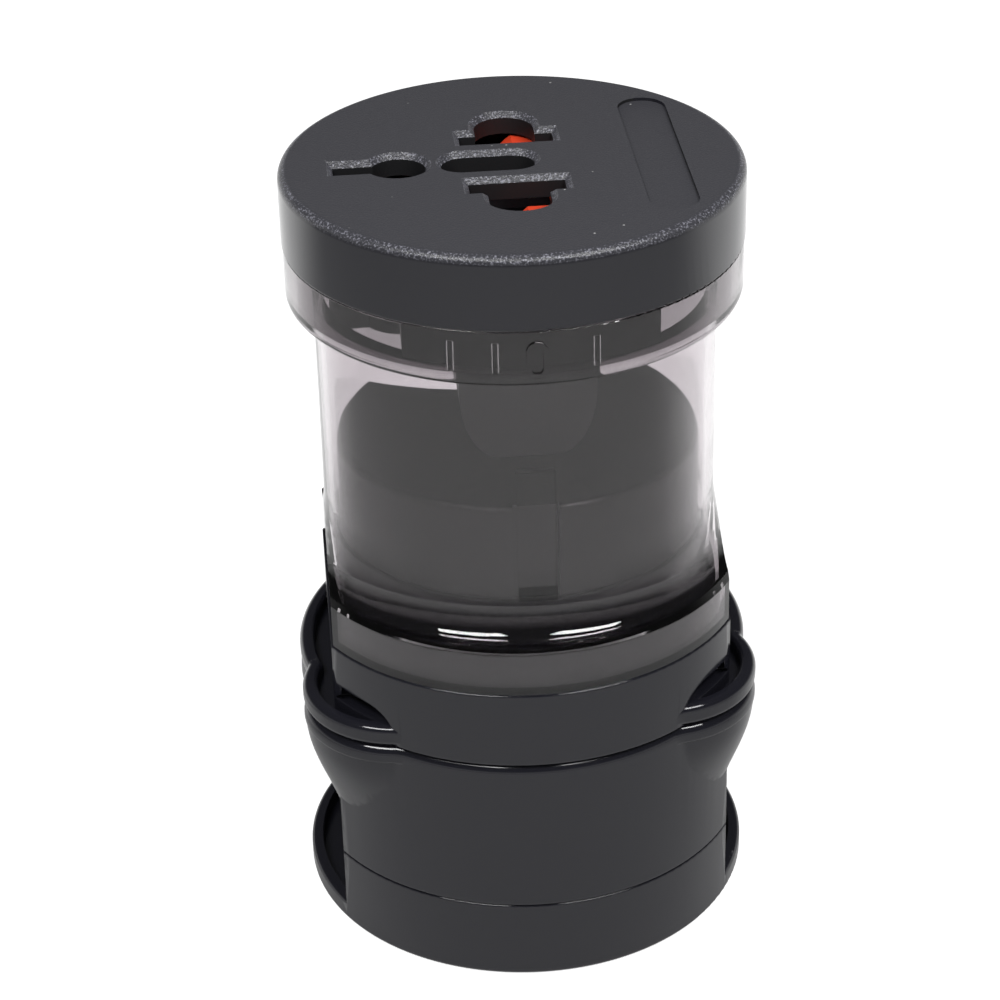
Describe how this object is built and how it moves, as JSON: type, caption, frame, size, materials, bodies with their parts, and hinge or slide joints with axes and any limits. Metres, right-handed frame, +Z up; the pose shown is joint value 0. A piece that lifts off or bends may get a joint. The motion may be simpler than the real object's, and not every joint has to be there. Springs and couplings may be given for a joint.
{
  "type": "travel plug adapter",
  "caption": "Stacked travel plug adapter: black socket head with a shutter, smoky clear sleeve, round-pin and flat-pin plug modules, and a lobed pin guard on a round base.",
  "frame": {"origin": "centre of the flat underside of the base", "axes": "+Z up along the column to the socket face, -Y to the front, -X towards the round earth hole"},
  "size_m": [0.0508, 0.0508, 0.0876],
  "materials": {
    "black_gloss": "polished black moulding",
    "black_satin": "black moulding, fine spark texture on the face",
    "black_matt": "plain black moulding",
    "smoky_clear": "smoky clear polycarbonate",
    "pin_brass": "nickel-plated brass",
    "contact_brass": "plain pressed brass",
    "screw_steel": "zinc-plated steel",
    "shutter_red": "red-orange moulding"
  },
  "bodies": {
    "base": {"base_cap": "black_gloss", "pin_guard": "black_gloss"},
    "uk_adapter": {"uk_shell": "black_gloss", "uk_plate": "black_matt", "uk_live_pin": "pin_brass", "uk_neutral_pin": "pin_brass", "uk_earth_pin": "black_matt", "uk_live_contact": "contact_brass", "uk_neutral_contact": "contact_brass", "uk_screws": "screw_steel"},
    "eu_adapter": {"eu_body": "black_matt", "eu_plate": "black_matt", "eu_live_pin": "pin_brass", "eu_neutral_pin": "pin_brass", "eu_live_contact": "contact_brass", "eu_neutral_contact": "contact_brass", "eu_screws": "screw_steel"},
    "sleeve": {"clear_sleeve": "smoky_clear"},
    "head": {"socket_cap": "black_satin", "contact_carrier": "black_matt", "live_blade": "pin_brass", "neutral_blade": "pin_brass", "live_contact": "contact_brass", "neutral_contact": "contact_brass", "earth_contact": "contact_brass", "head_screws": "screw_steel", "shutter_spring": "screw_steel"},
    "shutter_slider": {"shutter": "shutter_red"}
  },
  "joints": [
    {"name": "uk_lift", "type": "slide", "parent": "base", "child": "uk_adapter", "axis": [0, 0, 1], "range_m": [0, 0.028]},
    {"name": "eu_lift", "type": "slide", "parent": "uk_adapter", "child": "eu_adapter", "axis": [0, 0, 1], "range_m": [0, 0.022]},
    {"name": "sleeve_lift", "type": "slide", "parent": "eu_adapter", "child": "sleeve", "axis": [0, 0, 1], "range_m": [0, 0.04]},
    {"name": "head_lift", "type": "slide", "parent": "sleeve", "child": "head", "axis": [0, 0, 1], "range_m": [0, 0.036]},
    {"name": "shutter_slide", "type": "slide", "parent": "head", "child": "shutter_slider", "axis": [1, 0, 0], "range_m": [0, 0.0053], "stiffness_N_per_m": 150, "springref_m": -0.002, "deforming": ["shutter_spring"]}
  ]
}
